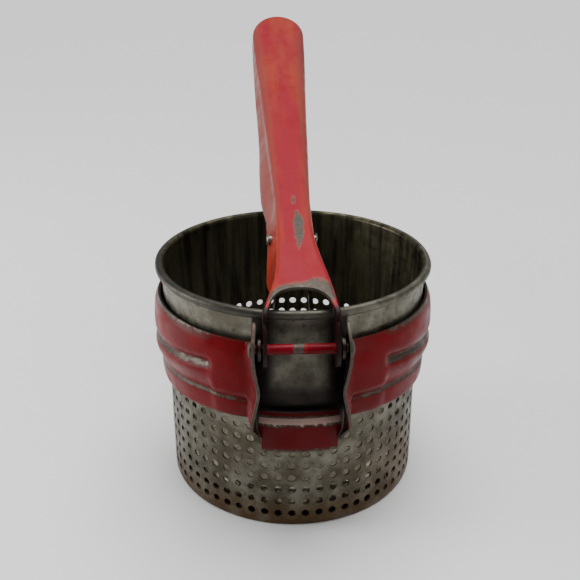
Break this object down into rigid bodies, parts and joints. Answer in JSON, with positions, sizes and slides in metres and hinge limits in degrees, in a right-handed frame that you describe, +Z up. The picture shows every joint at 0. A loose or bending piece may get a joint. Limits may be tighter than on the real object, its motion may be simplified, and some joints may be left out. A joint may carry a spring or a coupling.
{
  "type": "potato ricer",
  "caption": "Hand potato ricer: perforated tin basket in a pressed red ring with a fixed lower handle, and a hinged upper lever that drives a pivoting plunger.",
  "frame": {"origin": "on the basket's axis, at the underside of the basket's bottom plate", "axes": "+Z up out of the basket, +Y from the hinge towards the tips of both handles, +X to the right seen from the hinge side"},
  "size_m": [0.0972, 0.2275, 0.1425],
  "materials": {
    "tin_plate": "dull tarnished tinned steel sheet, brown in the corners",
    "steel_wire": "plain steel wire inside the rolled rim",
    "red_enamel": "glossy crimson enamel, worn to bare steel along ridges and edges",
    "lever_enamel": "faded satin red enamel with small chips and bare patches",
    "rivet_steel": "bright rubbed steel rivets and washers"
  },
  "bodies": {
    "frame": {"frame_band": "red_enamel", "lower_handle": "red_enamel", "handle_rivet_upper_left": "rivet_steel", "handle_rivet_upper_right": "rivet_steel", "handle_rivet_lower_left": "rivet_steel", "handle_rivet_lower_right": "rivet_steel", "hinge_pin": "red_enamel", "hinge_washer_left": "rivet_steel", "hinge_washer_right": "rivet_steel", "basket_wall": "tin_plate", "basket_bottom": "tin_plate", "rim_wire": "steel_wire"},
    "lever": {"upper_lever": "lever_enamel", "pivot_rivet_left": "rivet_steel", "pivot_rivet_right": "rivet_steel"},
    "plunger": {"plunger_yoke": "tin_plate", "plunger_disc": "tin_plate", "yoke_rivet_left": "rivet_steel", "yoke_rivet_right": "rivet_steel"}
  },
  "joints": [
    {"name": "lever_hinge", "type": "hinge", "parent": "frame", "child": "lever", "pos_m": [0, -0.052, 0.0715], "axis": [1, 0, 0], "range_deg": [0, 95]},
    {"name": "plunger_swing", "type": "hinge", "parent": "lever", "child": "plunger", "pos_m": [0, -0.0065, 0.0886], "axis": [1, 0, 0], "range_deg": [-45.6, 0]}
  ],
  "couplings": [
    {"joint": "plunger_swing", "follows": "lever_hinge", "ratio": -0.48}
  ]
}
